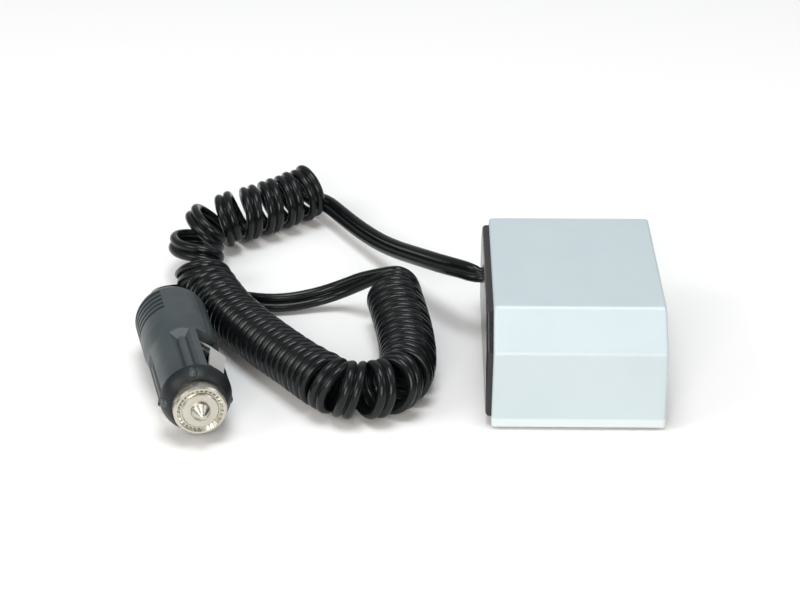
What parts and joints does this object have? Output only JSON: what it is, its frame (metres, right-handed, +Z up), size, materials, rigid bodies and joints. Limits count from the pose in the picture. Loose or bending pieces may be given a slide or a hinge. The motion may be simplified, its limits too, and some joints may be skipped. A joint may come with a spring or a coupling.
{
  "type": "lighter_socket_splitter",
  "caption": "In-car lighter socket splitter: a faceted silver housing with sockets and a USB outlet on one end, and a curly black lead to a fused lighter plug",
  "frame": {"origin": "under the middle of the housing, on the surface that it stands on", "axes": "+X towards the socket end, -X the cord end, -Y the front, +Z up"},
  "size_m": [0.1571, 0.1673, 0.0345],
  "materials": {
    "silver_plastic": "satin silver paint on moulded plastic, fine grain",
    "black_plastic": "moulded black, fine matt grain",
    "grey_plastic": "moulded dark grey, satin",
    "cord_black": "soft glossy black jacket of a flat twin lead",
    "bright_nickel": "bright nickel plate",
    "steel": "zinc plated steel",
    "brass": "pressed brass",
    "copper": "bare stranded copper",
    "clear_glass": "clear glass tube",
    "board_green": "green solder resist",
    "ferrite_dark": "dark grey ferrite",
    "can_aluminium": "drawn aluminium can",
    "red_lens": "tinted clear lens"
  },
  "bodies": {
    "splitter": {"base_plate": "black_plastic", "centre_contact_back": "brass", "centre_contact_front": "brass", "circuit_board": "board_green", "converter_chip": "black_plastic", "cord_coil": "cord_black", "cord_end_cap": "black_plastic", "cord_lead": "cord_black", "cord_tail": "cord_black", "fuse_spring": "steel", "ground_core": "copper", "ground_sleeve_back": "bright_nickel", "ground_sleeve_front": "bright_nickel", "ground_strap": "brass", "housing_screws": "steel", "inductor": "ferrite_dark", "input_capacitor": "can_aluminium", "live_core": "copper", "live_strap": "brass", "nose_ring": "grey_plastic", "output_capacitor": "can_aluminium", "plug_shell_lower": "grey_plastic", "plug_shell_upper": "grey_plastic", "power_led": "red_lens", "rear_contact": "brass", "screw_cap": "bright_nickel", "socket_cup_back": "black_plastic", "socket_cup_front": "black_plastic", "socket_panel": "black_plastic", "top_cover": "silver_plastic", "usb_contacts": "brass", "usb_shell": "bright_nickel", "usb_tongue": "black_plastic"},
    "side_clip_upper": {"side_clip_upper": "bright_nickel"},
    "side_clip_lower": {"side_clip_lower": "bright_nickel"},
    "tip_pin": {"tip_pin": "bright_nickel", "fuse_glass": "clear_glass", "fuse_end_caps": "bright_nickel"}
  },
  "joints": [
    {"name": "tip_press", "type": "slide", "parent": "splitter", "child": "tip_pin", "axis": [-0.2505, 0.9681, 0], "range_m": [0, 0.003], "stiffness_N_per_m": 800, "springref_m": -0.004, "deforming": ["fuse_spring"]},
    {"name": "clip_upper_press", "type": "hinge", "parent": "splitter", "child": "side_clip_upper", "pos_m": [-0.10903, -0.02078, 0.01575], "axis": [0.6964, 0.1802, -0.6947], "range_deg": [0, 11], "stiffness_Nm_per_rad": 0.5, "springref_deg": -9.74},
    {"name": "clip_lower_press", "type": "hinge", "parent": "splitter", "child": "side_clip_lower", "pos_m": [-0.1179, -0.02308, 0.00625], "axis": [-0.6964, -0.1802, 0.6947], "range_deg": [0, 11], "stiffness_Nm_per_rad": 0.5, "springref_deg": -9.74}
  ]
}
